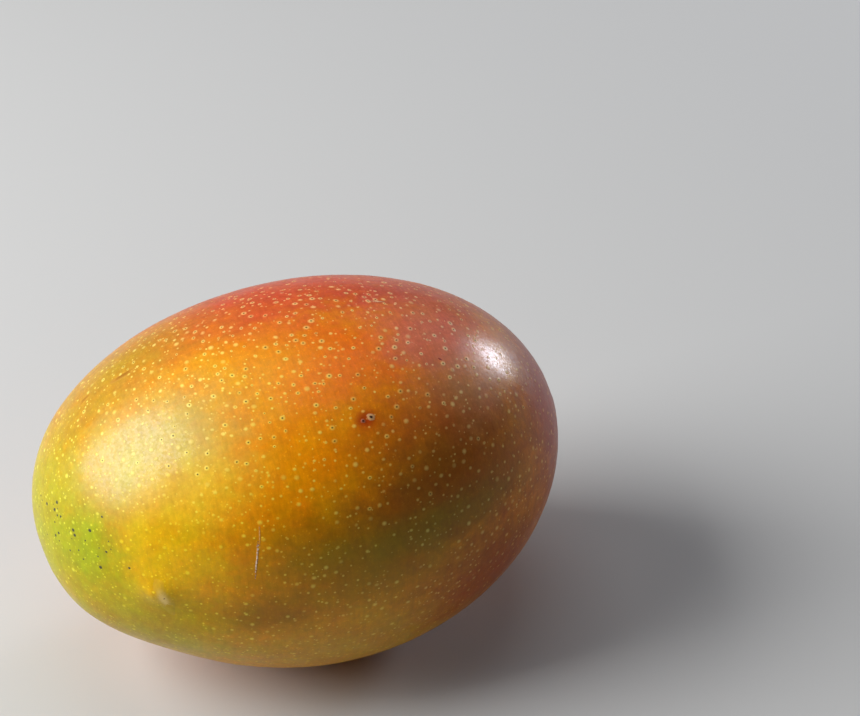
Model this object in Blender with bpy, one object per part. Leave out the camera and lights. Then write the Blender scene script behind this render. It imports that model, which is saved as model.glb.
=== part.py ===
"""One whole mango, lying on its cheek: the single solid that the fruit is.

Lengths are in metres. +X runs from the apex to the stem end, -Y is the side with
the beak, and +Z is up. The origin is the middle of the flat spot it rests on.
"""

import math

import bmesh
import bpy
from mathutils import Matrix, Vector

# Driving dimensions of the fruit.
HALF_LENGTH = 0.0617
HALF_WIDTH = 0.0449
HALF_THICKNESS = 0.0425
REST_SPOT_DEPTH = 0.0007  # how far up the round underside the flat spot is cut

# How the fruit departs from an ellipsoid.
CHEEK_TAPER = 0.03  # the stem end is this much thicker than the middle, the apex as much thinner
SQUARENESS = 0.03  # how far the cross-section bulges between its four sides
BOW = 0.0018  # the middle stands this far out towards the beak side, and the ends as far back

# Local swellings and hollows: direction from the middle, reach on a unit sphere, share of the radius.
APEX_CORNER = (Vector((-0.88, -0.33, -0.34)).normalized(), 0.30, 0.030)
SINUS = (Vector((-0.60, -0.50, -0.62)).normalized(), 0.40, -0.020)
BEAK = (Vector((-0.69, -0.72, 0.04)).normalized(), 0.11, 0.012)
STEM_CAVITY = (Vector((1.0, 0.0, 0.0)), 0.15, -0.038)

# The scar that the stem leaves in its cavity is a low, round, woody button.
SCAR_RADIUS = 0.0031
SCAR_HEIGHT = 0.0006
SCAR_ROOT = 0.0030  # how deep the button's cylinder reaches into the fruit, so that they join
SCAR_SIDES = 25
SCAR_TURN = math.radians(1)  # keeps the button's corners off the fruit's meridians

# Fineness of the mesh.
MERIDIANS = 64
RINGS = 40
STEM_CROWDING = 0.35  # how much closer the rings stand at the stem end than at the middle
CUT_TOLERANCE = 1e-7
POLE_TOLERANCE = 1e-6
SHARP_ANGLE = math.radians(30)

SKIN_COLOUR = (0.78, 0.30, 0.04, 1.0)
SKIN_ROUGHNESS = 0.35


def clear_scene():
    """Remove every object the scene opened with."""
    for obj in list(bpy.data.objects):
        bpy.data.objects.remove(obj, do_unlink=True)


def skin_material():
    """Return the plain orange skin of the fruit."""
    material = bpy.data.materials.new("mango_skin")
    material.use_nodes = True
    shader = material.node_tree.nodes["Principled BSDF"]
    shader.inputs["Base Color"].default_value = SKIN_COLOUR
    shader.inputs["Roughness"].default_value = SKIN_ROUGHNESS
    shader.inputs["Metallic"].default_value = 0.0
    material.diffuse_color = SKIN_COLOUR
    return material


def crowd_rings(direction):
    """Slide a point of the unit sphere along its meridian, so that the rings crowd at the stem end."""
    angle = math.acos(max(-1.0, min(1.0, direction.x)))
    side = Vector((0.0, direction.y, direction.z))
    if side.length < POLE_TOLERANCE:
        return direction
    moved = angle - STEM_CROWDING * math.sin(angle)
    return Vector((math.cos(moved), 0.0, 0.0)) + side.normalized() * math.sin(moved)


def local_share(direction, feature):
    """Return what a swelling or hollow adds to the radius in a direction, as a share of it."""
    centre, reach, share = feature
    return share * math.exp(-((direction - centre).length / reach) ** 2)


def surface_point(direction):
    """Return the point of the skin that stands in a direction from the fruit's middle."""
    x, y, z = direction
    ring = max(y * y + z * z, POLE_TOLERANCE**2)
    corner = 1.0 + SQUARENESS * (1.0 - (y**4 + z**4) / ring**2)
    features = (APEX_CORNER, SINUS, BEAK, STEM_CAVITY)
    grown = 1.0 + sum(local_share(direction, feature) for feature in features)
    return grown * Vector(
        (
            HALF_LENGTH * x,
            HALF_WIDTH * y * corner - BOW * (1.0 - 2.0 * x * x),
            HALF_THICKNESS * z * corner * (1.0 + CHEEK_TAPER * x),
        )
    )


def flesh_mesh():
    """Return the fruit as a closed mesh with its flat spot cut, and the middle of that spot."""
    mesh = bmesh.new()
    bmesh.ops.create_uvsphere(mesh, u_segments=MERIDIANS, v_segments=RINGS, radius=1.0)
    bmesh.ops.rotate(mesh, verts=mesh.verts, cent=Vector(), matrix=Matrix.Rotation(math.pi / 2, 3, "Y"))
    for vert in mesh.verts:
        vert.co = surface_point(crowd_rings(vert.co.normalized()))
    floor = min(vert.co.z for vert in mesh.verts) + REST_SPOT_DEPTH
    cut = bmesh.ops.bisect_plane(
        mesh,
        geom=mesh.verts[:] + mesh.edges[:] + mesh.faces[:],
        dist=CUT_TOLERANCE,
        plane_co=Vector((0.0, 0.0, floor)),
        plane_no=Vector((0.0, 0.0, -1.0)),
        clear_outer=True,
    )
    rim = [item for item in cut["geom_cut"] if isinstance(item, bmesh.types.BMEdge)]
    rest_spot = bmesh.ops.edgeloop_fill(mesh, edges=rim)["faces"][0]
    bmesh.ops.recalc_face_normals(mesh, faces=mesh.faces)
    return mesh, rest_spot.calc_center_median_weighted()


def stem_button():
    """Return the round woody button of the stem's scar, centred on its own middle, along Z."""
    mesh = bmesh.new()
    bmesh.ops.create_cone(
        mesh,
        cap_ends=True,
        segments=SCAR_SIDES,
        radius1=SCAR_RADIUS,
        radius2=SCAR_RADIUS,
        depth=SCAR_ROOT + SCAR_HEIGHT,
    )
    bmesh.ops.rotate(mesh, verts=mesh.verts, cent=Vector(), matrix=Matrix.Rotation(SCAR_TURN, 3, "Z"))
    return mesh


def add_object(name, mesh):
    """Add a finished mesh to the scene as a named object, and free the mesh."""
    data = bpy.data.meshes.new(name)
    mesh.to_mesh(data)
    mesh.free()
    obj = bpy.data.objects.new(name, data)
    bpy.context.scene.collection.objects.link(obj)
    return obj


def make_fruit():
    """Add the mango to the scene, standing on its flat spot at the origin, with the stem's scar joined on."""
    flesh, spot_middle = flesh_mesh()
    bmesh.ops.translate(flesh, verts=flesh.verts, vec=-spot_middle)
    fruit = add_object("mango", flesh)
    fruit.data.materials.append(skin_material())
    fruit.data.shade_smooth()
    fruit.data.set_sharp_from_angle(angle=SHARP_ANGLE)

    scar = add_object("stem_scar", stem_button())
    seat = surface_point(STEM_CAVITY[0]) - spot_middle
    scar.location = seat + Vector((0.5 * (SCAR_HEIGHT - SCAR_ROOT), 0.0, 0.0))
    scar.rotation_euler = (0.0, math.pi / 2, 0.0)
    scar.hide_render = True
    scar.display_type = "WIRE"

    join = fruit.modifiers.new("stem_scar", "BOOLEAN")
    join.operation = "UNION"
    join.solver = "EXACT"
    join.object = scar


def main():
    """Build the part."""
    clear_scene()
    make_fruit()


main()
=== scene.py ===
"""The looks of one whole mango: its skin, its pale dots and the small marks on it, on a pale floor.

Lengths are in metres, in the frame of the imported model: +X runs from the apex to the stem end,
-Y is the side with the beak, and +Z is up.
"""

from __future__ import annotations

import logging
import math
from dataclasses import dataclass, field
from enum import Enum
from typing import Any, Callable, Sequence

import bmesh
import bpy
import numpy as np
from mathutils import Color, Matrix, Vector
from mathutils.bvhtree import BVHTree

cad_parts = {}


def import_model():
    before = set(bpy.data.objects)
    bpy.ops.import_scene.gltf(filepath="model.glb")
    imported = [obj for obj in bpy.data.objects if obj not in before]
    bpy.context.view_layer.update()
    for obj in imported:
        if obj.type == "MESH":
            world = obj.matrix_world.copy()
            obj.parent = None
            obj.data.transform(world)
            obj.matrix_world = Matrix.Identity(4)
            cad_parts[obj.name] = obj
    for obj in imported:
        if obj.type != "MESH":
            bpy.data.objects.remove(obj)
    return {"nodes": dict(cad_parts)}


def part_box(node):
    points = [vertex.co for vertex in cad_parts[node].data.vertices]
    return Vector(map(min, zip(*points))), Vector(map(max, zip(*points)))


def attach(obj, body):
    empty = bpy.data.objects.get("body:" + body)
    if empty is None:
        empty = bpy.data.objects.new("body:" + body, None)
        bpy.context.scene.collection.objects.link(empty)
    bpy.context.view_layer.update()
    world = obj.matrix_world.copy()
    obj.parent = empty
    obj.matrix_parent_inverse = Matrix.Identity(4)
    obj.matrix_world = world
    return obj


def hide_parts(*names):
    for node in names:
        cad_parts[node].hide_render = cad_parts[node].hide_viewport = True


LOG = logging.getLogger("mango")
NODE = "mango"
BODY = "root"
SHARP_ANGLE = math.radians(40)
FULL_TURN = 2.0 * math.pi
TINY = 1e-6  # keeps a division off zero
SCREEN_FULL = 255.0  # a screen colour's largest part
NOISE_MIDDLE = 0.5  # a cloudy value's mean
LOW_CLOUD, HIGH_CLOUD = 0.25, 0.75  # the middle half of a cloudy value's range
FEWEST_CRESTS = 2  # of the longest wave round a ring
MIX_BASE, MIX_TOP, MIX_RESULT = 6, 7, 2  # the colour sockets of a Mix node
RANDOM_LOW, RANDOM_HIGH, RANDOM_RESULT = 2, 3, 1  # the number sockets of a Random Value node

Triple = tuple[float, float, float]
Colour = tuple[float, float, float, float]
Band = tuple[float, float]  # where a smooth step starts and ends
Patch = tuple[Triple, Triple]  # the centre and the reach of a soft patch on the unit ball
Value = Any  # a number, a triple or a Wire
Material = bpy.types.Material
Piece = bpy.types.Object

BLACK: Colour = (0.0, 0.0, 0.0, 1.0)
WHITE: Colour = (1.0, 1.0, 1.0, 1.0)
SKIN_TINT: Colour = (1.0, 0.94, 0.52, 1.0)  # warms the skin's reflections


class Blend(Enum):
    """How one colour is laid on another."""

    COVER = "MIX"
    STAIN = "MULTIPLY"


class Holder(Enum):
    """What a named value is stored on."""

    POINT = "POINT"
    INSTANCE = "INSTANCE"


class Draw(Enum):
    """What a dot's random numbers are drawn for, each with its own seed."""

    SIZE = 1
    WIDTH = 2
    TONE = 3
    PIT = 4


@dataclass(frozen=True)
class Cloud:
    """A cloudy pattern: how many clouds there are to a unit, its finer layers, and how strong those are."""

    scale: Value
    detail: float = 2.0
    roughness: float = 0.5


def paint(red: float, green: float, blue: float) -> Colour:
    """Turn a colour as mixed on screen, 0 to 255, into the linear one that a shader takes."""
    mixed = Color((red / SCREEN_FULL, green / SCREEN_FULL, blue / SCREEN_FULL))
    return (*mixed.from_srgb_to_scene_linear(), 1.0)


# ---- Node trees written as expressions ----


class Wire:
    """One output socket of a node tree, on which arithmetic adds Math or Vector Math nodes."""

    def __init__(self, bench: Bench, socket: bpy.types.NodeSocket) -> None:
        """Hold an output socket and the tree that it is in."""
        self.bench = bench
        self.socket = socket

    def other(self, name: str | int) -> Wire:
        """Return another output of the same node, by its name or number."""
        return Wire(self.bench, self.socket.node.outputs[name])

    def __add__(self, value: Value) -> Wire:
        """Add a value."""
        return self.bench.sum_up("ADD", self, value)

    def __radd__(self, value: Value) -> Wire:
        """Add to a value."""
        return self.bench.sum_up("ADD", value, self)

    def __sub__(self, value: Value) -> Wire:
        """Take a value away."""
        return self.bench.sum_up("SUBTRACT", self, value)

    def __rsub__(self, value: Value) -> Wire:
        """Take away from a value."""
        return self.bench.sum_up("SUBTRACT", value, self)

    def __mul__(self, value: Value) -> Wire:
        """Multiply by a value."""
        return self.bench.sum_up("MULTIPLY", self, value)

    def __rmul__(self, value: Value) -> Wire:
        """Multiply a value."""
        return self.bench.sum_up("MULTIPLY", value, self)

    def __truediv__(self, value: Value) -> Wire:
        """Divide by a value."""
        return self.bench.sum_up("DIVIDE", self, value)

    def __neg__(self) -> Wire:
        """Turn the sign round."""
        return self.bench.sum_up("MULTIPLY", self, -1.0)


class Bench:
    """A node tree and the few ways in which this file adds nodes to it."""

    def __init__(self, tree: bpy.types.NodeTree) -> None:
        """Take a node tree to work on."""
        self.tree = tree

    def add(
        self,
        kind: str,
        settings: dict[str, Any] | None = None,
        sockets: dict[str | int, Value] | None = None,
        output: str | int = 0,
    ) -> Wire:
        """Add a node.

        Args:
            kind: The node's type.
            settings: Its properties, which are set first.
            sockets: Values or wires for its inputs, by name or number.
            output: The output that is returned.

        Returns:
            The chosen output.
        """
        node = self.tree.nodes.new(kind)
        for name, value in (settings or {}).items():
            setattr(node, name, value)
        self.fill(node, sockets or {})
        return Wire(self, node.outputs[output])

    def fill(self, node: bpy.types.Node, sockets: dict[str | int, Value]) -> None:
        """Feed values or wires to a node's inputs, by name or number."""
        for name, value in sockets.items():
            self.feed(node.inputs[name], value)

    def feed(self, socket: bpy.types.NodeSocket, value: Value) -> None:
        """Link a wire to a socket, or set the socket to a plain value.

        Args:
            socket: The input socket.
            value: The wire or the plain value.
        """
        if isinstance(value, Wire):
            self.tree.links.new(value.socket, socket)
        else:
            socket.default_value = value

    def sum_up(self, operation: str, first: Value, second: Value) -> Wire:
        """Add the Math or Vector Math node that an operator stands for.

        Args:
            operation: The node's operation.
            first: The value on the left.
            second: The value on the right.

        Returns:
            The result.
        """
        pair = (first, second)
        if not any(isinstance(part, Wire) and part.socket.type == "VECTOR" for part in pair):
            return self.add("ShaderNodeMath", {"operation": operation}, {0: first, 1: second})
        ready = [self.as_vector(part) for part in pair]
        return self.add("ShaderNodeVectorMath", {"operation": operation}, {0: ready[0], 1: ready[1]})

    @staticmethod
    def as_vector(value: Value) -> Value:
        """Spread a plain number over three axes, and leave a wire or a triple as it is."""
        return (value, value, value) if isinstance(value, (int, float)) else value

    def maths(self, operation: str, *values: Value) -> Wire:
        """Add a Math node for an operation that has no operator."""
        return self.add("ShaderNodeMath", {"operation": operation}, dict(enumerate(values)))

    def parts(self, vector: Wire) -> tuple[Wire, Wire, Wire]:
        """Return a vector's three parts."""
        first = self.add("ShaderNodeSeparateXYZ", {}, {0: vector})
        return first, first.other(1), first.other(2)

    def vector(self, x: Value, y: Value, z: Value) -> Wire:
        """Join three values into a vector."""
        return self.add("ShaderNodeCombineXYZ", {}, {0: x, 1: y, 2: z})

    def length(self, vector: Wire) -> Wire:
        """Return a vector's length."""
        return self.add("ShaderNodeVectorMath", {"operation": "LENGTH"}, {0: vector}, "Value")

    def unit(self, vector: Wire) -> Wire:
        """Return a vector of the same direction and length 1."""
        return self.add("ShaderNodeVectorMath", {"operation": "NORMALIZE"}, {0: vector})

    def fall(self, distance: Wire) -> Wire:
        """Return a bell curve of a distance: 1 at no distance, about a third at a distance of 1."""
        return self.maths("EXPONENT", -(distance * distance))

    def bell(self, place: Wire, centre: Value, reach: Value) -> Wire:
        """Return a soft round spot: 1 at its centre, about a third at its reach."""
        return self.fall(self.length(place - centre) / reach)

    def slope(self, value: Value, start: Value, end: Value) -> Wire:
        """Return a smooth step from 0 at start to 1 at end."""
        settings = {"interpolation_type": "SMOOTHSTEP"}
        return self.add("ShaderNodeMapRange", settings, {0: value, 1: start, 2: end})

    def noise(self, place: Wire, cloud: Cloud, output: str | int = 0) -> Wire:
        """Return a cloudy value around 0.5, or another output of the noise."""
        sockets = dict(Vector=place, Scale=cloud.scale, Detail=cloud.detail, Roughness=cloud.roughness)
        return self.add("ShaderNodeTexNoise", {}, sockets, output)

    def sway(self, place: Wire, cloud: Cloud) -> Wire:
        """Return a cloudy value around zero."""
        return self.noise(place, cloud) - NOISE_MIDDLE

    def wander(self, place: Wire, cloud: Cloud) -> Wire:
        """Return a cloudy vector around zero."""
        sockets = {0: self.noise(place, cloud, "Color"), 1: self.as_vector(NOISE_MIDDLE)}
        return self.add("ShaderNodeVectorMath", {"operation": "SUBTRACT"}, sockets)

    def shade(self, cloudy: Wire, darkest: float, lightest: float) -> Wire:
        """Return a factor between two limits that follows the middle half of a cloudy value."""
        sockets = {0: cloudy, 1: LOW_CLOUD, 2: HIGH_CLOUD, 3: darkest, 4: lightest}
        return self.add("ShaderNodeMapRange", {}, sockets)

    def mix(self, share: Value, base: Value, top: Value, blend: Blend = Blend.COVER) -> Wire:
        """Return a base colour with a share of a top colour laid on it."""
        settings = {"data_type": "RGBA", "blend_type": blend.value, "clamp_factor": True}
        return self.add("ShaderNodeMix", settings, {0: share, MIX_BASE: base, MIX_TOP: top}, MIX_RESULT)

    def spot(self) -> Wire:
        """Return the shaded point in the piece's own coordinates."""
        return self.add("ShaderNodeTexCoord", {}, {}, "Object")

    def stored(self, name: str) -> Wire:
        """Return the number that is stored on the mesh under a name."""
        return self.add("ShaderNodeAttribute", {"attribute_name": name}, {}, "Fac")

    def bump(self, height: Wire) -> Wire:
        """Return the normal of a surface that stands out by a height in metres."""
        return self.add("ShaderNodeBump", {}, {"Strength": 1.0, "Distance": 1.0, "Height": height})


class Recipe(Bench):
    """A Geometry Nodes tree in the making, which ends as one plain mesh."""

    def __init__(self, name: str) -> None:
        """Start an empty tree of a name, with a mesh going in and a mesh coming out."""
        super().__init__(bpy.data.node_groups.new(name, "GeometryNodeTree"))
        for direction in ("INPUT", "OUTPUT"):
            self.tree.interface.new_socket("Mesh", in_out=direction, socket_type="NodeSocketGeometry")
        self.entry = self.tree.nodes.new("NodeGroupInput")
        self.exit = self.tree.nodes.new("NodeGroupOutput")
        self.sizes: dict[str, float | Triple] = {}

    def size(self, name: str, value: float | Triple) -> Wire:
        """Add a named input to the tree.

        Args:
            name: The input's name.
            value: What it is set to, a number or a triple.

        Returns:
            The input's wire.
        """
        kind = "NodeSocketFloat" if isinstance(value, (int, float)) else "NodeSocketVector"
        made = self.tree.interface.new_socket(name, in_out="INPUT", socket_type=kind)
        self.sizes[made.identifier] = value
        return Wire(self, self.entry.outputs[name])

    def ground(self) -> Wire:
        """Return the mesh that goes into the tree."""
        return Wire(self, self.entry.outputs["Mesh"])

    def keep(self, mesh: Wire, name: str, value: Value, holder: Holder = Holder.POINT) -> Wire:
        """Return the mesh with a number stored on its points or instances under a name."""
        sockets = {"Geometry": mesh, "Name": name, "Value": value}
        return self.add("GeometryNodeStoreNamedAttribute", {"domain": holder.value}, sockets)

    def cast(
        self, name: str, mesh: Wire, material: Material, ground: bpy.types.Mesh | None = None
    ) -> Piece:
        """End the tree, run it once and leave its result as a plain mesh object.

        Args:
            name: The piece's name.
            mesh: The wire that carries the finished mesh.
            material: What the piece is made of.
            ground: The mesh that goes into the tree, or None for an empty one.

        Returns:
            The piece, with no modifier left on it.
        """
        real = self.add("GeometryNodeRealizeInstances", {}, {"Geometry": mesh})
        dressed = self.add("GeometryNodeSetMaterial", {}, {"Geometry": real, "Material": material})
        self.feed(self.exit.inputs["Mesh"], dressed)
        piece = bpy.data.objects.new(name, ground or bpy.data.meshes.new(name))
        bpy.context.scene.collection.objects.link(piece)
        growth = piece.modifiers.new(self.tree.name, "NODES")
        growth.node_group = self.tree
        for identifier, value in self.sizes.items():
            growth[identifier] = value
        graph = bpy.context.evaluated_depsgraph_get()
        grown = bpy.data.meshes.new_from_object(
            piece.evaluated_get(graph), preserve_all_data_layers=True, depsgraph=graph
        )
        piece.modifiers.remove(growth)
        piece.data = grown
        grown.name = name
        grown.materials.clear()
        grown.materials.append(material)
        return piece


def ship(piece: Piece, replaced: bool = False) -> None:
    """Hand a finished piece to the frame.

    Args:
        piece: The piece.
        replaced: Whether it stands for the plain solid of the fruit.
    """
    piece.data.shade_smooth()
    piece.data.set_sharp_from_angle(angle=SHARP_ANGLE)
    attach(piece, BODY)
    if replaced:
        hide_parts("mango")
    LOG.info("%s: %d vertices, %d faces", piece.name, len(piece.data.vertices), len(piece.data.polygons))


def add_piece(name: str, mesh: bmesh.types.BMesh, material: Material) -> Piece:
    """Add a finished mesh to the scene as a piece, and free the mesh.

    Args:
        name: The piece's name.
        mesh: The mesh.
        material: What the piece is made of.

    Returns:
        The piece.
    """
    data = bpy.data.meshes.new(name)
    mesh.to_mesh(data)
    mesh.free()
    data.materials.append(material)
    piece = bpy.data.objects.new(name, data)
    bpy.context.scene.collection.objects.link(piece)
    return piece


def wavy(angle: float, phases: Sequence[float], fading: float) -> float:
    """Return a sum of waves round a ring, each with one crest more, and weaker by the fading."""
    waves = [math.sin((FEWEST_CRESTS + k) * angle + phase) for k, phase in enumerate(phases)]
    return sum(wave / (1.0 + fading * k) for k, wave in enumerate(waves))


@dataclass
class Rosette:
    """A closed mesh of rings around a top, closed by a keel, with each ring's share stored as its rim."""

    name: str
    top: Vector
    keel: Vector
    rings: int
    sides: int

    def make(self, place: Callable[[float, float], Vector], material: Material) -> Piece:
        """Make the piece.

        Args:
            place: Gives the point at a ring's share of the full radius and at an angle.
            material: What the piece is made of.

        Returns:
            The piece.
        """
        mesh = bmesh.new()
        rim = mesh.verts.layers.float.new("rim")
        top = mesh.verts.new(self.top)
        angles = [FULL_TURN * side / self.sides for side in range(self.sides)]
        loops = []
        for ring in range(1, self.rings + 1):
            share = ring / self.rings
            loop = [mesh.verts.new(place(share, angle)) for angle in angles]
            for vert in loop:
                vert[rim] = share
            loops.append(loop)
        bottom = mesh.verts.new(self.keel)
        bottom[rim] = 1.0
        for side in range(self.sides):
            after = (side + 1) % self.sides
            mesh.faces.new((top, loops[0][side], loops[0][after]))
            for inner, outer in zip(loops, loops[1:]):
                mesh.faces.new((inner[side], outer[side], outer[after], inner[after]))
            mesh.faces.new((bottom, loops[-1][after], loops[-1][side]))
        bmesh.ops.recalc_face_normals(mesh, faces=mesh.faces)
        return add_piece(self.name, mesh, material)


# ---- Colours ----


@dataclass(frozen=True)
class Zone:
    """A soft patch of colour on the skin, placed on a unit ball that stands for the fruit."""

    centre: Triple
    reach: Triple
    colour: Triple
    strength: float = 1.0
    ragged: float = 0.5


@dataclass(frozen=True)
class Colouring:
    """How the fruit is coloured: a ground colour, with zones laid over it in order, a few of them partly
    painted light.
    """

    middle: Triple
    half: Triple
    ground: Triple = (242, 148, 2)
    drift: Cloud = Cloud(2.4, 3.0)
    drift_reach: float = 0.14
    fray: Cloud = Cloud(13.0, 5.0, 0.62)
    mottle: Cloud = Cloud(640.0, 4.0, 0.7)
    mottle_shade: Band = (0.85, 1.13)
    tint: Cloud = Cloud(135.0, 5.0, 0.6)
    tint_swing: Triple = (0.22, 0.66, 0.50)
    streak: Cloud = Cloud(1500.0, 2.0, 0.6)
    streak_stretch: Triple = (1.0, 0.16, 0.16)
    streak_shade: Band = (0.92, 1.08)
    fleck_scale: float = 1250.0
    fleck_rim: Band = (0.06, 0.36)
    fleck_place: Band = (0.40, 0.66)
    fleck_share: float = 0.55
    fleck_lift: Colour = (1.35, 1.7, 2.4, 1.0)
    fleck_colour: Triple = (255, 214, 70)
    fleck_tint: float = 0.10
    zones: tuple[Zone, ...] = (
        Zone((0.10, 1.00, 0.00), (1.10, 0.80, 0.95), (196, 96, 34)),
        Zone((1.00, 0.05, 0.05), (0.36, 0.95, 0.95), (146, 30, 14), 1.0, 0.8),
        Zone((-1.00, -0.05, 0.05), (0.42, 0.72, 0.85), (172, 162, 0), 1.0, 0.7),
        Zone((0.06, 0.42, 0.96), (0.88, 0.56, 0.42), (208, 84, 50), 1.0, 1.1),
        Zone((0.04, 0.80, 0.62), (0.76, 0.32, 0.38), (168, 58, 38), 0.9, 0.9),
        Zone((0.56, 0.16, 0.84), (0.30, 0.26, 0.30), (196, 88, 74), 0.7, 1.4),
        Zone((0.15, -0.33, 0.95), (0.40, 0.24, 0.36), (238, 106, 6), 0.8, 0.9),
        Zone((-0.66, 0.30, 0.68), (0.40, 0.40, 0.42), (184, 140, 42), 0.9, 0.9),
        Zone((-0.38, -0.25, 0.85), (0.35, 0.27, 0.38), (232, 160, 22), 0.85, 0.9),
        # Pale beige where the key light's highlight falls: partly the skin's colour, partly painted sheen.
        Zone((-0.62, -0.36, 0.62), (0.33, 0.34, 0.34), (188, 166, 86), 0.95, 0.7),
        Zone((-0.52, -0.58, 0.54), (0.24, 0.22, 0.22), (240, 190, 26), 0.65, 0.9),
        # Pinkish lavender round the rim light's highlight: partly a waxy bloom's tint, partly painted sheen.
        Zone((0.50, -0.20, 0.85), (0.24, 0.30, 0.30), (222, 120, 88), 1.0, 0.9),
        Zone((0.92, -0.30, 0.36), (0.16, 0.42, 0.30), (156, 34, 26), 0.85, 1.2),
        Zone((0.50, -0.58, 0.64), (0.28, 0.30, 0.26), (188, 118, 74), 0.9, 1.2),
        Zone((0.24, -0.66, 0.71), (0.24, 0.17, 0.20), (198, 90, 8), 0.6, 1.1),
        Zone((0.04, -1.00, 0.22), (0.54, 0.50, 0.32), (164, 116, 0), 1.0, 0.8),
        Zone((0.30, -0.84, 0.48), (0.30, 0.36, 0.22), (156, 92, 26), 0.9, 0.8),
        Zone((0.62, -0.74, 0.36), (0.30, 0.36, 0.26), (164, 84, 8), 0.9, 0.9),
        Zone((0.32, -0.90, 0.28), (0.36, 0.36, 0.11), (142, 108, 10), 0.75, 1.0),
        Zone((0.06, -0.85, -0.45), (0.72, 0.55, 0.44), (196, 142, 8)),
        Zone((-0.39, -0.90, -0.05), (0.20, 0.36, 0.12), (142, 90, 6), 0.75, 0.7),
        Zone((-0.72, -0.62, -0.24), (0.38, 0.40, 0.48), (178, 154, 4), 0.95, 0.8),
        # Gold above the beak's ridge, ending crisply below: partly the skin's gold, partly painted light on
        # the ridge's lit side.
        Zone((-0.66, -0.68, 0.26), (0.21, 0.26, 0.25), (224, 178, 0), 0.95, 0.4),
        Zone((0.55, -0.78, -0.24), (0.38, 0.50, 0.38), (166, 76, 4), 1.0, 0.9),
        Zone((-0.89, -0.40, 0.16), (0.15, 0.26, 0.20), (156, 166, 6), 0.85, 1.0),
        Zone((0.118, -0.61, 0.80), (0.046, 0.045, 0.06), (172, 44, 10), 0.8, 0.3),
        Zone((0.96, 0.00, 0.00), (0.20, 0.105, 0.105), (112, 66, 26), 0.8, 0.9),
    )

    def place(self, bench: Bench) -> Wire:
        """Return the point of the unit ball that stands for the shaded point."""
        return (bench.spot() - self.middle) / self.half

    def wash(self, bench: Bench) -> Wire:
        """Add the nodes that lay the broad zones of colour over one another.

        Args:
            bench: The shader tree.

        Returns:
            The colour before its fine grain.
        """
        plain = self.place(bench)
        place = plain + bench.wander(plain, self.drift) * self.drift_reach
        fray = bench.sway(plain, self.fray)
        colour: Value = paint(*self.ground)
        for zone in self.zones:
            near = bench.length((place - zone.centre) / zone.reach)
            near = bench.maths("MAXIMUM", near + fray * zone.ragged, 0.0)
            share = bench.maths("EXPONENT", -(near * near * near)) * zone.strength
            colour = bench.mix(share, colour, paint(*zone.colour))
        return colour

    def lay(self, bench: Bench) -> Wire:
        """Add the nodes that give the skin its colour, down to its fine mottling, streaks and flecks.

        Args:
            bench: The shader tree.

        Returns:
            The colour.
        """
        spot = bench.spot()
        mottle = bench.noise(spot, self.mottle)
        streak = bench.noise(spot * self.streak_stretch, self.streak)
        shade = bench.shade(mottle, *self.mottle_shade) * bench.shade(streak, *self.streak_shade)
        hue = bench.wander(spot, self.tint) * self.tint_swing + (1.0, 1.0, 1.0)
        colour = bench.mix(1.0, self.wash(bench), hue * bench.vector(shade, shade, shade), Blend.STAIN)
        cells = {"Vector": spot, "Scale": self.fleck_scale, "Randomness": 1.0}
        gap = bench.add("ShaderNodeTexVoronoi", {}, cells, "Distance")
        fleck = (1.0 - bench.slope(gap, *self.fleck_rim)) * bench.slope(mottle, *self.fleck_place)
        lifted = bench.mix(1.0, colour, self.fleck_lift, Blend.STAIN)
        pale = bench.mix(self.fleck_tint, lifted, paint(*self.fleck_colour))
        return bench.mix(fleck * self.fleck_share, colour, pale)


# ---- Finishes ----


@dataclass(frozen=True)
class Sheen:
    """How a surface shines: a soft sheen underneath, and a thin clear coat on it."""

    gloss: float = 0.5
    specular: float = 0.4
    tint: Colour = WHITE
    coat: float = 0.0
    coat_gloss: float = 0.22


class Surface(Bench):
    """A material in the making, on its Principled shader."""

    def __init__(self, name: str, sheen: Sheen) -> None:
        """Start the material with what is the same all over it.

        Args:
            name: The material's name.
            sheen: How it shines.
        """
        self.material = bpy.data.materials.new(name)
        self.material.use_nodes = True
        super().__init__(self.material.node_tree)
        self.shader = self.tree.nodes["Principled BSDF"]
        steady = {
            "Roughness": sheen.gloss,
            "Specular IOR Level": sheen.specular,
            "Specular Tint": sheen.tint,
            "Coat Weight": sheen.coat,
            "Coat Roughness": sheen.coat_gloss,
        }
        self.fill(self.shader, steady)

    def finish(self, varied: dict[str | int, Value]) -> Material:
        """Feed the shader what changes over the surface, and return the material."""
        self.fill(self.shader, varied)
        return self.material


@dataclass(frozen=True)
class Bloom:
    """A patch of the skin where its wax is thicker, placed on the unit ball."""

    centre: Triple
    reach: float
    share: float


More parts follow.
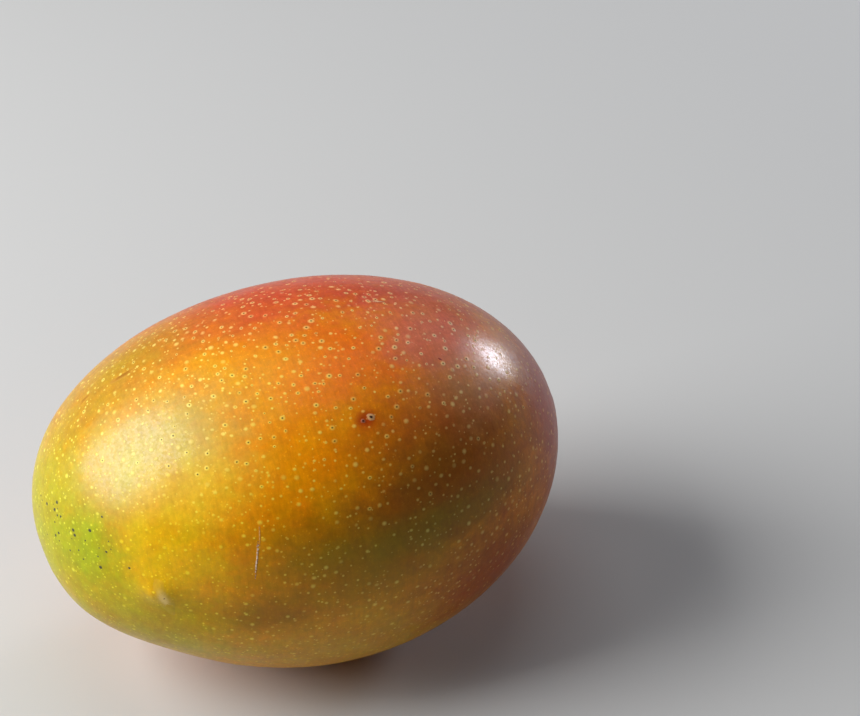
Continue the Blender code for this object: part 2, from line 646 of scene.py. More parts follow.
@dataclass(frozen=True)
class SkinFinish:
    """The smooth, waxy skin: a soft sheen under a thin shiny coat, broken up by pores and faint streaks."""

    sheen: Sheen = Sheen(gloss=0.37, specular=0.32, tint=SKIN_TINT, coat=0.07)
    gloss_cloud: Cloud = Cloud(150.0, 4.0, 0.6)
    gloss_swing: float = 0.36
    blooms: tuple[Bloom, ...] = (
        Bloom((0.64, -0.20, 0.76), 0.42, 0.27),
        Bloom((-0.55, -0.30, 0.70), 0.48, 0.17),
    )
    wear: Cloud = Cloud(1500.0, 3.0, 0.6)
    wear_drift: float = 0.5
    wear_band: Band = (0.36, 0.64)
    wear_swing: float = 1.8
    pores: Cloud = Cloud(1300.0, 3.0, 0.6)
    pore_depth: float = 0.000036
    streak_stretch: Triple = (1.0, 0.2, 0.2)
    streak_depth: float = 0.000008
    ripples: Cloud = Cloud(260.0)
    ripple_depth: float = 0.000024

    def material(self, colouring: Colouring) -> Material:
        """Make the skin's material.

        Args:
            colouring: How the fruit is coloured.

        Returns:
            The material.
        """
        bench = Surface("mango_skin", self.sheen)
        spot = bench.spot()
        cloud = bench.sway(spot, self.gloss_cloud)
        pores = bench.noise(spot, self.pores)
        streaks = bench.noise(spot * self.streak_stretch, self.pores)
        ripples = bench.noise(spot, self.ripples)
        height = ripples * self.ripple_depth + pores * self.pore_depth + streaks * self.streak_depth
        varied = {
            "Base Color": colouring.lay(bench),
            "Roughness": self.sheen.gloss + cloud * self.gloss_swing,
            "Coat Weight": self.wax(bench, colouring.place(bench), cloud),
            "Normal": bench.bump(height),
        }
        return bench.finish(varied)

    def wax(self, bench: Bench, place: Wire, cloud: Wire) -> Wire:
        """Add the nodes that say how much wax there is.

        Args:
            bench: The shader tree.
            place: The shaded point on the unit ball.
            cloud: A broad cloudy value around zero.

        Returns:
            The weight of the clear coat.
        """
        wax: Value = self.sheen.coat
        for bloom in self.blooms:
            wax = wax + bench.bell(place, bloom.centre, bloom.reach) * bloom.share
        wear = bench.noise(bench.spot(), self.wear) + cloud * self.wear_drift
        return wax * (1.0 + (bench.slope(wear, *self.wear_band) - NOISE_MIDDLE) * self.wear_swing)


@dataclass(frozen=True)
class LenticelFinish:
    """The pale breathing dots of the skin, which fade into it at their rim; some have a dark pinhole, partly
    painted shade.
    """

    sheen: Sheen = Sheen(gloss=0.42, specular=0.32, tint=SKIN_TINT, coat=0.12, coat_gloss=0.24)
    lift: Colour = (1.55, 2.5, 3.6, 1.0)
    brightest: Triple = (0.96, 0.76, 0.50)
    pale: Triple = (255, 236, 156)
    pale_share: float = 0.46
    sunny: Triple = (255, 224, 48)
    sunny_patch: tuple[Triple, float] = ((-0.70, -0.55, 0.30), 0.85)
    pitted_band: Band = (0.50, 0.60)
    glow_from: float = 0.18
    pitted_glow_from: float = 0.38
    moat_colour_and_shade: Triple = (120, 92, 30)
    moat_band: Band = (0.15, 0.48)
    moat_share: float = 0.40
    pore_colour_and_shade: Triple = (48, 36, 22)
    hole_band: Band = (0.10, 0.29)
    hole_share: float = 0.92
    hole_dullness: float = 0.3

    def material(self, colouring: Colouring) -> Material:
        """Make the dots' material.

        Args:
            colouring: How the fruit is coloured.

        Returns:
            The material.
        """
        bench = Surface("lenticel", self.sheen)
        skin = colouring.lay(bench)
        rim = bench.stored("rim")
        pitted = bench.slope(bench.stored("pit"), *self.pitted_band)
        glow_from = pitted * (self.pitted_glow_from - self.glow_from) + self.glow_from
        glow = (1.0 - bench.slope(rim, glow_from, 1.0)) * bench.stored("tone")
        colour = bench.mix(glow, skin, self.paleness(bench, colouring.place(bench), skin))
        # Dark moat and pinhole of an open pore: partly the pore's own colour, partly painted shade in a pore
        # that the lens does not dent.
        moat_colour_and_shade = (1.0 - bench.slope(rim, *self.moat_band)) * pitted
        colour = bench.mix(moat_colour_and_shade * self.moat_share, colour, paint(*self.moat_colour_and_shade))
        pore_colour_and_shade = (1.0 - bench.slope(rim, *self.hole_band)) * pitted
        colour = bench.mix(pore_colour_and_shade * self.hole_share, colour, paint(*self.pore_colour_and_shade))
        gloss = self.sheen.gloss + pore_colour_and_shade * self.hole_dullness
        return bench.finish({"Base Color": colour, "Roughness": gloss})

    def paleness(self, bench: Bench, place: Wire, skin: Wire) -> Wire:
        """Add the nodes that give a dot its full tone: the skin's, lifted, and yellower on the gold side.

        Args:
            bench: The shader tree.
            place: The shaded point on the unit ball.
            skin: The skin's colour.

        Returns:
            The pale colour.
        """
        lifted = bench.mix(1.0, skin, self.lift, Blend.STAIN)
        held = bench.add("ShaderNodeVectorMath", {"operation": "MINIMUM"}, {0: lifted, 1: self.brightest})
        sun = bench.bell(place, *self.sunny_patch)
        return bench.mix(self.pale_share, held, bench.mix(sun, paint(*self.pale), paint(*self.sunny)))


@dataclass(frozen=True)
class MarkFinish:
    """A small mark on the skin, whose colour changes from its middle to its rim, where it meets the skin."""

    name: str
    middle: Triple
    edge: Triple
    cover: float = 0.9
    fade_from: float = 0.6
    core: float = 0.45
    core_blur: float = 0.30
    grain_cloud: Cloud = Cloud(2500.0, 3.0, 0.6)
    grain: float = 0.25
    rim_grain: float = 2.0
    sheen: Sheen = Sheen()

    def material(self, colouring: Colouring) -> Material:
        """Make the mark's material.

        Args:
            colouring: How the fruit is coloured.

        Returns:
            The material.
        """
        bench = Surface(self.name, self.sheen)
        rim = bench.stored("rim")
        grain = bench.sway(bench.spot(), self.grain_cloud) * self.grain
        turn = bench.slope(rim + grain, self.core - self.core_blur, self.core + self.core_blur)
        own = bench.mix(turn, paint(*self.middle), paint(*self.edge))
        share = (1.0 - bench.slope(rim + grain * self.rim_grain, self.fade_from, 1.0)) * self.cover
        return bench.finish({"Base Color": bench.mix(share, colouring.lay(bench), own)})


@dataclass(frozen=True)
class ScarFinish:
    """The dry, corky wood of the stem's scar, darkened at its rim by painted contact shade."""

    sheen: Sheen = Sheen(gloss=0.75, specular=0.5)
    bark: Triple = (112, 82, 52)
    crust: Triple = (150, 120, 82)
    crust_band: Band = (0.35, 0.68)
    pith: Triple = (72, 48, 30)
    pith_band: Band = (0.22, 0.42)
    rim_shade_band: Band = (0.74, 0.98)
    rim_shade_share: float = 0.7
    grain: Cloud = Cloud(1400.0, 5.0, 0.7)
    grain_blur: float = 0.3
    grain_depth: float = 0.00012

    def material(self) -> Material:
        """Make the scar's material.

        Returns:
            The material.
        """
        bench = Surface("stem_wood", self.sheen)
        grain = bench.noise(bench.spot(), self.grain)
        away = bench.stored("rim") + (grain - NOISE_MIDDLE) * self.grain_blur
        pith = paint(*self.pith)
        colour = bench.mix(bench.slope(grain, *self.crust_band), paint(*self.bark), paint(*self.crust))
        colour = bench.mix(1.0 - bench.slope(away, *self.pith_band), colour, pith)
        # Painted contact shade: the rim darkens towards the pith's colour where the button meets the skin.
        colour = bench.mix(bench.slope(away, *self.rim_shade_band) * self.rim_shade_share, colour, pith)
        return bench.finish({"Base Color": colour, "Normal": bench.bump(grain * self.grain_depth)})


# ---- The fruit ----


@dataclass(frozen=True)
class Swelling:
    """A local swelling or hollow: the way to it, its reach on the unit ball, and its share of the radius."""

    name: str
    way: Triple
    reach: float
    share: float


@dataclass
class Fruit:
    """The whole fruit, grown from a ball by the rule that also gives the solid its shape."""

    low: Vector
    high: Vector
    rest_depth: float = 0.0007
    facets: int = 112
    taper: float = 0.03
    squareness: float = 0.03
    bow: float = 0.0401
    swellings: tuple[Swelling, ...] = (
        Swelling("Apex corner", (-0.88, -0.33, -0.34), 0.30, 0.030),
        Swelling("Sinus", (-0.60, -0.50, -0.62), 0.40, -0.020),
        Swelling("Beak", (-0.69, -0.72, 0.04), 0.11, 0.012),
        Swelling("Beak tip", (-0.69, -0.72, 0.05), 0.060, 0.015),
        Swelling("Beak hollow", (-0.58, -0.81, -0.01), 0.12, -0.012),
        Swelling("Stem cavity", (1.0, 0.0, 0.0), 0.15, -0.038),
    )
    pucker_count: float = 7.0
    pucker_reach: float = 0.17
    pucker_depth: float = 0.0045
    pucker_drift: float = 5.0
    pucker_cloud: Cloud = Cloud(3.0)
    waves: tuple[tuple[float, float], ...] = ((3.2, 0.0060), (11.0, 0.0016))

    @property
    def lowest(self) -> Vector:
        """The lowest corner of the fruit's box before the flat spot is cut."""
        return self.low - Vector((0.0, 0.0, self.rest_depth))

    @property
    def middle(self) -> Triple:
        """The middle of the fruit, before the flat spot is cut."""
        return tuple(0.5 * (self.lowest + self.high))

    @property
    def half(self) -> Triple:
        """Half the fruit's length, width and thickness, before the flat spot is cut."""
        return tuple(0.5 * (self.high - self.lowest))

    def ball(self, recipe: Recipe) -> Wire:
        """Add a cube of even squares, blown up to a unit ball with squares of nearly even size.

        Args:
            recipe: The tree.

        Returns:
            The ball.
        """
        count = self.facets
        sockets = {"Size": (2.0, 2.0, 2.0), "Vertices X": count, "Vertices Y": count, "Vertices Z": count}
        cube = recipe.add("GeometryNodeMeshCube", {}, sockets)
        spot = recipe.add("GeometryNodeInputPosition")
        bent = [recipe.maths("TANGENT", part * (math.pi / 4)) for part in recipe.parts(spot)]
        on_ball = recipe.unit(recipe.vector(*bent))
        return recipe.add("GeometryNodeSetPosition", {}, {"Geometry": cube, "Position": on_ball})

    def growth(self, recipe: Recipe, way: Wire) -> Wire:
        """Return how far the skin stands out in a direction, from its swellings, hollows and waves.

        Args:
            recipe: The tree.
            way: The direction, as a point of the unit ball.

        Returns:
            The share by which the radius grows.
        """
        grown: Value = 1.0
        for part in self.swellings:
            middle = recipe.size(f"{part.name} direction", tuple(Vector(part.way).normalized()))
            bell = recipe.bell(way, middle, recipe.size(f"{part.name} reach", part.reach))
            grown = grown + bell * recipe.size(f"{part.name} share", part.share)
        for number, (scale, depth) in enumerate(self.waves, start=1):
            cloud = recipe.sway(way, Cloud(recipe.size(f"Wave {number} scale", scale), 1.0))
            grown = grown + cloud * recipe.size(f"Wave {number} depth", depth)
        return grown + self.puckers(recipe, way)

    def puckers(self, recipe: Recipe, way: Wire) -> Wire:
        """Return the shallow folds that run into the stem's cavity.

        Args:
            recipe: The tree.
            way: The direction, as a point of the unit ball.

        Returns:
            What the folds add to the radius, as a share of it.
        """
        x, y, z = recipe.parts(way)
        turn = recipe.maths("ARCTAN2", z, y) * recipe.size("Pucker count", self.pucker_count)
        away = recipe.length(recipe.vector(0.0, y, z)) / recipe.size("Pucker reach", self.pucker_reach)
        front = recipe.maths("GREATER_THAN", x, 0.0)
        ring = away * away * recipe.fall(away) * front
        swing = recipe.maths("SINE", turn + recipe.noise(way, self.pucker_cloud) * self.pucker_drift)
        return ring * swing * recipe.size("Pucker depth", self.pucker_depth)

    def grow(self, material: Material) -> Piece:
        """Make the skin.

        Args:
            material: The skin's material.

        Returns:
            The skin as one closed mesh.
        """
        recipe = Recipe("grow_skin")
        ball = self.ball(recipe)
        way = recipe.add("GeometryNodeInputPosition")
        x, y, z = recipe.parts(way)
        ring = recipe.maths("MAXIMUM", y * y + z * z, TINY)
        four = recipe.maths("POWER", y, 4.0) + recipe.maths("POWER", z, 4.0)
        corner = 1.0 + recipe.size("Squareness", self.squareness) * (1.0 - four / (ring * ring))
        side = y * corner - recipe.size("Bow", self.bow) * (1.0 - 2.0 * x * x)
        up = z * corner * (1.0 + recipe.size("Taper", self.taper) * x)
        raw = recipe.vector(x, side, up) * self.growth(recipe, way)
        shaped = recipe.add("GeometryNodeSetPosition", {}, {"Geometry": ball, "Position": raw})
        box = recipe.add("GeometryNodeBoundBox", {}, {"Geometry": shaped}, "Min")
        lowest = recipe.size("Lowest corner", tuple(self.lowest))
        highest = recipe.size("Highest corner", tuple(self.high))
        spot = recipe.add("GeometryNodeInputPosition")
        share = (spot - box) / (box.other("Max") - box)
        x, y, z = recipe.parts(lowest + share * (highest - lowest))
        rested = recipe.vector(x, y, recipe.maths("MAXIMUM", z, recipe.size("Floor", self.low.z)))
        settled = recipe.add("GeometryNodeSetPosition", {}, {"Geometry": shaped, "Position": rested})
        return recipe.cast("skin", settled, material)


@dataclass
class Touch:
    """The finished skin as something that other pieces are laid on."""

    fruit: Fruit
    skin: Piece
    lift: float = 0.01
    outside: float = 3.0  # where a ray starts, in radii from the middle
    tree: BVHTree = field(init=False)

    def __post_init__(self) -> None:
        """Sort the skin's faces for quick ray casts."""
        mesh = self.skin.data
        faces = [tuple(face.vertices) for face in mesh.polygons]
        self.tree = BVHTree.FromPolygons([vert.co for vert in mesh.vertices], faces)

    def at(self, way: Triple) -> tuple[Vector, Vector]:
        """Return the point of the skin in a direction of the unit ball, and its normal.

        Args:
            way: The direction.

        Returns:
            The point and the normal.
        """
        middle = Vector(self.fruit.middle)
        ray = Vector(way) * Vector(self.fruit.half)
        point, normal, _, _ = self.tree.ray_cast(middle + self.outside * ray, -ray)
        return point, normal

    def drop(self, point: Vector, normal: Vector) -> tuple[Vector, Vector]:
        """Return where a point lands when it is dropped against a normal, and the skin's normal there."""
        landed, found, _, _ = self.tree.ray_cast(point + self.lift * normal, -normal)
        return (landed, found) if landed is not None else (point, normal)


@dataclass
class Dots:
    """Small round dots scattered over the skin, more or less densely in one patch of it."""

    name: str
    fruit: Fruit
    gap: float
    density: float
    smallest: float
    largest: float
    evenness: float
    seed: int
    patch: Patch
    inside: float = 1.0
    outside: float = 1.0
    clumping: float = 0.0
    clump_scale: float = 9.0
    clump_band: Band = (0.36, 0.62)
    faintest: float = 0.25
    pitted: float = 0.5
    pitted_elsewhere: float = 0.12
    pitted_smallest: float = 0.7
    showy_patch: Patch = ((0.14, -0.02, 0.95), (0.96, 0.82, 0.70))
    shyness: float = 0.24
    narrowest: float = 0.72
    height: float = 0.07
    sides: int = 8
    rings: int = 4
    sunk: float = 0.25
    equator: float = 0.01

    def lens(self, recipe: Recipe) -> Wire:
        """Add one dot of radius 1: a low lens with the distance from its middle stored as its rim.

        Args:
            recipe: The tree.

        Returns:
            The lens.
        """
        sockets = {"Segments": self.sides, "Rings": self.rings, "Radius": 1.0}
        ball = recipe.add("GeometryNodeMeshUVSphere", {}, sockets)
        x, y, z = recipe.parts(recipe.add("GeometryNodeInputPosition"))
        ring = x * x + y * y
        marked = recipe.keep(ball, "rim", recipe.maths("SQRT", ring))
        side = recipe.maths("SIGN", recipe.maths("ROUND", z / self.equator))
        bulge = (1.0 - ring) * side - recipe.size("Sunk", self.sunk)
        flat = recipe.vector(x, y, bulge * recipe.size("Height", self.height))
        return recipe.add("GeometryNodeSetPosition", {}, {"Geometry": marked, "Position": flat})

    def crowding(self, recipe: Recipe) -> Wire:
        """Return how densely the dots stand, from 0 to 1.

        Args:
            recipe: The tree.

        Returns:
            The share of the full density.
        """
        outside = recipe.size("Share outside the patch", self.outside)
        inside = recipe.size("Share inside the patch", self.inside)
        share = outside + self.patch_share(recipe, "Patch", self.patch) * (inside - outside)
        cloud = recipe.noise(self.place(recipe), Cloud(recipe.size("Clump scale", self.clump_scale)))
        bare = 1.0 - recipe.slope(cloud, *self.clump_band)
        return share * (1.0 - recipe.size("Clumping", self.clumping) * bare)

    def place(self, recipe: Recipe) -> Wire:
        """Return the point of the unit ball that stands for a point of the skin."""
        return (recipe.add("GeometryNodeInputPosition") - self.fruit.middle) / self.fruit.half

    def patch_share(self, recipe: Recipe, name: str, patch: Patch) -> Wire:
        """Return how far a point is inside a patch: 1 at its centre, falling off as a bell curve."""
        ends = [recipe.size(f"{name} {end}", value) for end, value in zip(("centre", "reach"), patch)]
        return recipe.fall(recipe.length((self.place(recipe) - ends[0]) / ends[1]))

    def random(self, recipe: Recipe, low: Value, high: Value, draw: Draw) -> Wire:
        """Return a random number between two limits for each dot."""
        sockets = {RANDOM_LOW: low, RANDOM_HIGH: high, "Seed": self.seed + draw.value}
        return recipe.add("FunctionNodeRandomValue", {"data_type": "FLOAT"}, sockets, RANDOM_RESULT)

    def scatter(self, skin: Piece, material: Material) -> Piece:
        """Scatter the dots.

        Args:
            skin: What they are scattered on.
            material: Their material.

        Returns:
            All of them as one piece.
        """
        recipe = Recipe(f"scatter_{self.name}")
        sockets = {
            "Mesh": recipe.ground(),
            "Distance Min": recipe.size("Smallest gap", self.gap),
            "Density Max": recipe.size("Dots to a square metre", self.density),
            "Density Factor": self.crowding(recipe),
            "Seed": self.seed,
        }
        spread = {"distribute_method": "POISSON"}
        points = recipe.add("GeometryNodeDistributePointsOnFaces", spread, sockets)
        showy = self.patch_share(recipe, "Showy patch", self.showy_patch)
        loud = 1.0 - recipe.size("Shyness", self.shyness) * (1.0 - showy)
        even = self.random(recipe, 0.0, 1.0, Draw.SIZE)
        draw = recipe.maths("POWER", even, recipe.size("Evenness", self.evenness))
        smallest = recipe.size("Smallest radius", self.smallest)
        radius = (smallest + draw * (recipe.size("Largest radius", self.largest) - smallest)) * loud
        narrow = radius * self.random(recipe, self.narrowest, 1.0, Draw.WIDTH)
        sockets = {
            "Points": points,
            "Instance": self.lens(recipe),
            "Rotation": points.other("Rotation"),
            "Scale": recipe.vector(radius, narrow, radius),
        }
        dots = recipe.add("GeometryNodeInstanceOnPoints", {}, sockets)
        tone = self.random(recipe, recipe.size("Faintest tone", self.faintest), 1.0, Draw.TONE) * loud
        dots = recipe.keep(dots, "tone", tone, Holder.INSTANCE)
        likely = self.pitted_elsewhere + (1.0 - self.pitted_elsewhere) * showy
        likely = likely * (self.pitted_smallest + draw)
        pit = self.random(recipe, 0.0, 1.0, Draw.PIT) * recipe.size("Pitted", self.pitted) * likely
        dots = recipe.keep(dots, "pit", pit, Holder.INSTANCE)
        return recipe.cast(self.name, dots, material, skin.data.copy())


@dataclass(frozen=True)
class Mark:
    """A thin patch of any length and width that lies on the skin, with its finish."""

    name: str
    finish: MarkFinish
    way: Triple
    length: float
    width: float
    height: float
    heading: float
    raggedness: float
    seed: int
    rings: int = 7
    sides: int = 30
    waves: int = 4
    skirt: float = 1.2  # one more than how far the outermost ring dips under the skin, in heights
    keel: float = 2.0  # how far the lowest point is under the skin, in heights

    def lay(self, touch: Touch, colouring: Colouring) -> Piece:
        """Lay the mark on the skin.

        Args:
            touch: The skin.
            colouring: How the skin is coloured.

        Returns:
            The mark as one closed piece.
        """
        material = self.finish.material(colouring)
        phases = np.random.default_rng(self.seed).uniform(0.0, FULL_TURN, self.waves)
        base, normal = touch.at(self.way)
        east = Vector((1.0, 0.0, 0.0)).cross(normal).normalized()
        turn = Matrix.Rotation(math.radians(self.heading), 3, normal)
        along = turn @ east
        across = turn @ normal.cross(east)

        def place(share: float, angle: float) -> Vector:
            """Return the point at a share of the mark's reach and at an angle."""
            reach = 0.5 * share * (1.0 + self.raggedness * wavy(angle, phases, 1.0))
            away = self.length * math.cos(angle) * along + self.width * math.sin(angle) * across
            spot, found = touch.drop(base + reach * away, normal)
            return spot + self.height * (1.0 - self.skirt * share * share) * found

        keel = base - self.keel * self.height * normal
        return Rosette(self.name, place(0.0, 0.0), keel, self.rings, self.sides).make(place, material)


@dataclass
class StemScar:
    """The woody button that the stem leaves in its cavity, with a sunken pith and a cracked rim."""

    radius: float = 0.0032
    height: float = 0.0007
    root: float = 0.0012
    wobble: float = 0.035
    waves: int = 3
    pith_radius: float = 0.0010
    pith_floor: float = 0.6  # the flat share of the pith's radius
    pith_rise: float = 0.2
    edge_rise: float = 0.25
    swell_rise: float = 0.85
    swell_roundness: float = 0.6
    cracks: int = 9
    crack_width: float = 0.09
    crack_depth: float = 0.55
    grit: float = 0.03
    rings: int = 16
    sides: int = 72
    seed: int = 5

    def rise(self, reach: float, share: float, apart: float) -> float:
        """Return how far the wood stands out of its seat.

        Args:
            reach: The distance from the scar's middle.
            share: The ring's share of the radius.
            apart: The angle to the nearest crack.

        Returns:
            The height there, without its grit.
        """
        beyond = min(1.0, max(0.0, (reach - self.pith_floor * self.pith_radius) / self.radius))
        swell = math.sin(math.pi * beyond) ** self.swell_roundness
        crack = math.exp(-((apart / self.crack_width) ** 2)) * share
        return self.height * (self.edge_rise + self.swell_rise * swell - self.crack_depth * crack)

    def make(self, touch: Touch, material: Material) -> Piece:
        """Make the button.

        Args:
            touch: The skin that it sits on.
            material: Its wood.

        Returns:
            The button as one closed piece.
        """
        draws = np.random.default_rng(self.seed)
        crack_angles = draws.uniform(0.0, FULL_TURN, self.cracks)
        phases = draws.uniform(0.0, FULL_TURN, self.waves)
        seat, _ = touch.at((1.0, 0.0, 0.0))

        def place(share: float, angle: float) -> Vector:
            """Return the point at a share of the scar's radius and at an angle."""
            reach = self.radius * share * (1.0 + self.wobble * wavy(angle, phases, 0.0))
            apart = float(np.abs(np.angle(np.exp(1j * (crack_angles - angle)))).min())
            out = self.rise(reach, share, apart) + float(draws.normal(0.0, self.grit)) * self.height
            drop = self.root if share == 1.0 else 0.0
            return seat + Vector((out - drop, reach * math.cos(angle), reach * math.sin(angle)))

        top = seat + Vector((self.pith_rise * self.height, 0.0, 0.0))
        keel = seat - Vector((self.root, 0.0, 0.0))
        return Rosette("stem_scar", top, keel, self.rings, self.sides).make(place, material)


@dataclass
class Speckling:
    """The skin's dots: pale breathing dots in two sizes all over it, and dark specks near the apex."""

    fruit: Fruit
    colouring: Colouring
    apex_side: Patch = ((-0.88, -0.60, -0.02), (0.52, 0.62, 0.56))
    apex_end: Patch = ((-0.85, -0.30, 0.20), (0.65, 0.85, 0.75))
    speck_band: Patch = ((-0.91, -0.27, 0.18), (0.14, 0.28, 0.08))

    def scatter(self, skin: Piece) -> list[Piece]:
        """Scatter all the dots.

        Args:
            skin: What they are scattered on.

        Returns:
            One piece for each kind.
        """
        pale = LenticelFinish().material(self.colouring)
        ink = MarkFinish("speck", (44, 46, 40), (60, 60, 36), 0.95, 0.45, sheen=Sheen(gloss=0.45))
        black = ink.material(self.colouring)
        coarse = Dots(
            "lenticels", self.fruit, gap=0.0018, density=290000.0, smallest=0.00048, largest=0.00106,
            evenness=1.4, seed=3, patch=self.apex_side, inside=0.22, clumping=0.35, pitted=1.3,
            faintest=0.45,
        )
        fine = Dots(
            "fine_lenticels", self.fruit, gap=0.0010, density=460000.0, smallest=0.00022, largest=0.00052,
            evenness=1.3, seed=7, patch=self.apex_end, outside=0.40, clumping=0.4, pitted=0.25, shyness=0.1,
            rings=2, faintest=0.40,
        )
        specks = Dots(
            "specks", self.fruit, gap=0.0011, density=420000.0, smallest=0.00024, largest=0.00064,
            evenness=1.5, seed=11, patch=self.speck_band, outside=0.0, shyness=0.0, height=0.08,
        )
        return [coarse.scatter(skin, pale), fine.scatter(skin, pale), specks.scatter(skin, black)]


# What makes a corky line break up into beads.
BEADS: dict[str, Any] = {"grain_cloud": Cloud(2200.0, 3.0, 0.6), "grain": 2.0, "sheen": Sheen(gloss=0.6)}
CORK = MarkFinish("cork", (250, 226, 200), (130, 84, 52), fade_from=0.5, **BEADS)
FAINT = MarkFinish("faint_cork", (226, 180, 120), (160, 96, 60), cover=0.6, fade_from=0.4, **BEADS)
RUST = MarkFinish("scab", (16, 12, 8), (214, 166, 112), 0.92, 0.66, core=0.34, core_blur=0.10)
RUSTY = MarkFinish("scab_dot", (36, 14, 8), (176, 112, 84), 0.85, core_blur=0.16)
# The beak's pale yellow streak: partly the pale cork of its scar, partly painted highlight along the beak's
# ridge.
PALE_CORK_AND_HIGHLIGHT = MarkFinish("beak_cork_and_highlight", (244, 212, 128), (206, 170, 50), 0.85, 0.05)
RUBY = MarkFinish("beak_dot", (120, 30, 16), (168, 92, 50), 0.85, 0.5)
WINE = MarkFinish("nick", (138, 20, 8), (164, 44, 20), fade_from=0.55)
CREAM = MarkFinish("scuff", (238, 196, 150), (120, 60, 40), 0.75, 0.3, grain=1.3, sheen=Sheen(gloss=0.6))
# Darker olive-brown strips along a faint furrow: painted shade of a crease that the skin does not dent.
BROWN = MarkFinish("crease_shade", (156, 100, 0), (186, 122, 6), 0.85, 0.3)
TAN = MarkFinish("crease_end_shade", (164, 108, 0), (190, 132, 4), 0.8, 0.3)


@dataclass(frozen=True)
class Blemishes:
    """The few small marks that this one fruit carries."""

    marks: tuple[Mark, ...] = (
        Mark("scratch", CORK, (-0.363, -0.872, 0.296), 0.0086, 0.00074, 0.00007, -12.0, 0.22, 2, 5, 80),
        Mark("scratch_tail", FAINT, (-0.343, -0.840, 0.410), 0.0052, 0.00045, 0.00004, -8.0, 0.16, 2, 5, 40),
        Mark("scab", RUST, (0.129, -0.612, 0.800), 0.0021, 0.0019, 0.00012, 20.0, 0.08, 4),
        Mark("scab_dot", RUSTY, (0.097, -0.622, 0.795), 0.0013, 0.0011, 0.00009, 50.0, 0.08, 9, 6, 24),
        # Pale streak on the beak: cork scar and painted highlight of the ridge.
        Mark("beak_scar_and_highlight", PALE_CORK_AND_HIGHLIGHT, (-0.672, -0.708, 0.020), 0.0104, 0.0042, 0.00006, 28.0, 0.10, 6),
        Mark("beak_dot", RUBY, (-0.674, -0.714, 0.030), 0.0007, 0.0006, 0.00008, 0.0, 0.1, 7, 4, 16),
        Mark("nick", WINE, (0.459, -0.336, 0.832), 0.0011, 0.0007, 0.00005, 60.0, 0.14, 8, 5, 20),
        Mark("scuff", CREAM, (0.33, 0.08, 0.95), 0.0040, 0.0015, 0.00005, 78.0, 0.2, 12, 6, 40),
        # Painted shade along a faint furrow, in two strips.
        Mark("crease_shade", BROWN, (-0.616, 0.171, 0.756), 0.0088, 0.0019, 0.00004, 76.0, 0.18, 13, 5, 40),
        Mark("crease_end_shade", TAN, (-0.754, 0.226, 0.614), 0.0060, 0.0018, 0.00004, 87.0, 0.18, 14, 5, 40),
    )

    def lay(self, touch: Touch, colouring: Colouring) -> list[Piece]:
        """Lay all the marks on the skin, one piece for each."""
        return [mark.lay(touch, colouring) for mark in self.marks]


# ---- The studio ----


@dataclass(frozen=True)
class Softbox:
    """A square area light that looks at the fruit."""

    name: str
    azimuth: float
    elevation: float
    distance: float
    width: float
    height: float
    power: float
    colour: Triple = (255, 255, 255)


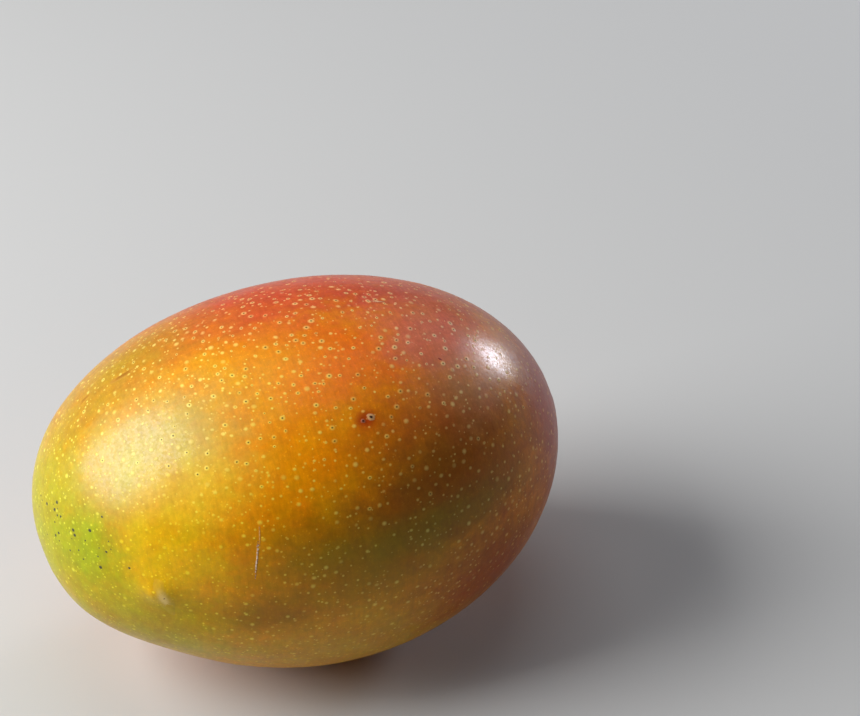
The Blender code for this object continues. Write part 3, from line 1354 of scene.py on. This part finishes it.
@dataclass
class Studio:
    """The pale floor, the lights and the camera."""

    middle: Vector
    aim: Triple = (0.0627, 0.0843, -0.0429)
    azimuth: float = -20.3
    elevation: float = 36.7
    distance: float = 0.712
    lens: float = 110.9
    sensor: float = 36.0
    softboxes: tuple[Softbox, ...] = (
        Softbox("key", 187.0, 35.0, 1.00, 0.72, 0.78, 16.0),
        Softbox("rim", 45.5, 12.5, 1.00, 0.19, 0.19, 3.2, (232, 238, 255)),
        Softbox("overhead", 90.0, 78.0, 1.00, 0.70, 0.70, 1.8),
    )
    nearest: float = 0.01
    air: Colour = (0.018, 0.019, 0.020, 1.0)
    backdrop: Colour = (0.56, 0.56, 0.55, 1.0)
    floor_side: float = 6.0
    floor_colour: Colour = (0.60, 0.60, 0.59, 1.0)
    floor_sheen: Sheen = Sheen(gloss=0.7, specular=0.1)
    floor_fade: Band = (0.24, 0.75)

    @staticmethod
    def direction(azimuth: float, elevation: float) -> Vector:
        """Return the way to a place: degrees from +X towards +Y, and degrees above the floor."""
        turn, rise = math.radians(azimuth), math.radians(elevation)
        return Vector((math.cos(turn) * math.cos(rise), math.sin(turn) * math.cos(rise), math.sin(rise)))

    @staticmethod
    def look(place: Vector, target: Vector) -> Matrix:
        """Return the matrix that puts an object at a place and points its -Z at a target."""
        turn = (target - place).to_track_quat("-Z", "Y")
        return Matrix.Translation(place) @ turn.to_matrix().to_4x4()

    def set_camera(self) -> None:
        """Add the camera and make it the scene's own."""
        target = self.middle + Vector(self.aim)
        data = bpy.data.cameras.new("camera")
        data.lens = self.lens
        data.sensor_width = self.sensor
        data.clip_start = self.nearest
        data.dof.use_dof = False
        camera = bpy.data.objects.new("camera", data)
        way = self.direction(self.azimuth - 90.0, self.elevation)
        camera.matrix_world = self.look(target + self.distance * way, target)
        bpy.context.scene.collection.objects.link(camera)
        bpy.context.scene.camera = camera

    def set_lights(self) -> None:
        """Add the softboxes, which are placed as seen from the camera's side."""
        for box in self.softboxes:
            data = bpy.data.lights.new(box.name, "AREA")
            data.shape = "RECTANGLE"
            data.size = box.width
            data.size_y = box.height
            data.energy = box.power
            data.color = paint(*box.colour)[:3]
            lamp = bpy.data.objects.new(box.name, data)
            way = self.direction(box.azimuth + self.azimuth, box.elevation)
            lamp.matrix_world = self.look(self.middle + box.distance * way, self.middle)
            bpy.context.scene.collection.objects.link(lamp)

    def set_air(self) -> None:
        """Add a faint even light, behind which the camera sees a pale backdrop."""
        world = bpy.data.worlds.new("studio_air")
        world.use_nodes = True
        bench = Bench(world.node_tree)
        seen = bench.add("ShaderNodeLightPath", {}, {}, "Is Camera Ray")
        background = world.node_tree.nodes["Background"]
        bench.feed(background.inputs["Color"], bench.mix(seen, self.air, self.backdrop))
        bpy.context.scene.world = world

    def lay_floor(self) -> None:
        """Lay the pale floor, which turns into the backdrop far from the fruit."""
        bench = Surface("pale_floor", self.floor_sheen)
        far = bench.slope(bench.length(bench.spot()), *self.floor_fade)
        varied = {
            "Base Color": bench.mix(far, self.floor_colour, BLACK),
            "Emission Color": bench.mix(far, BLACK, self.backdrop),
            "Emission Strength": 1.0,
        }
        mesh = bmesh.new()
        bmesh.ops.create_grid(mesh, x_segments=1, y_segments=1, size=0.5 * self.floor_side)
        add_piece("floor", mesh, bench.finish(varied))

    def set_up(self) -> None:
        """Set the whole studio up."""
        self.lay_floor()
        self.set_lights()
        self.set_air()
        self.set_camera()
        bpy.context.scene.view_settings.view_transform = "Standard"


def main() -> None:
    """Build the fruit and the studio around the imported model."""
    logging.basicConfig(level=logging.INFO, format="%(name)s: %(message)s")
    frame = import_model()
    LOG.info("packed nodes: %s", ", ".join(frame["nodes"]))
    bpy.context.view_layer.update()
    low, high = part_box(NODE)
    fruit = Fruit(low, high)
    colouring = Colouring(fruit.middle, fruit.half)
    skin = fruit.grow(SkinFinish().material(colouring))
    touch = Touch(fruit, skin)
    details = [
        *Speckling(fruit, colouring).scatter(skin),
        *Blemishes().lay(touch, colouring),
        StemScar().make(touch, ScarFinish().material()),
    ]
    ship(skin, replaced=True)
    for piece in details:
        ship(piece)
    Studio(0.5 * (low + high)).set_up()


if __name__ == "__main__":
    main()
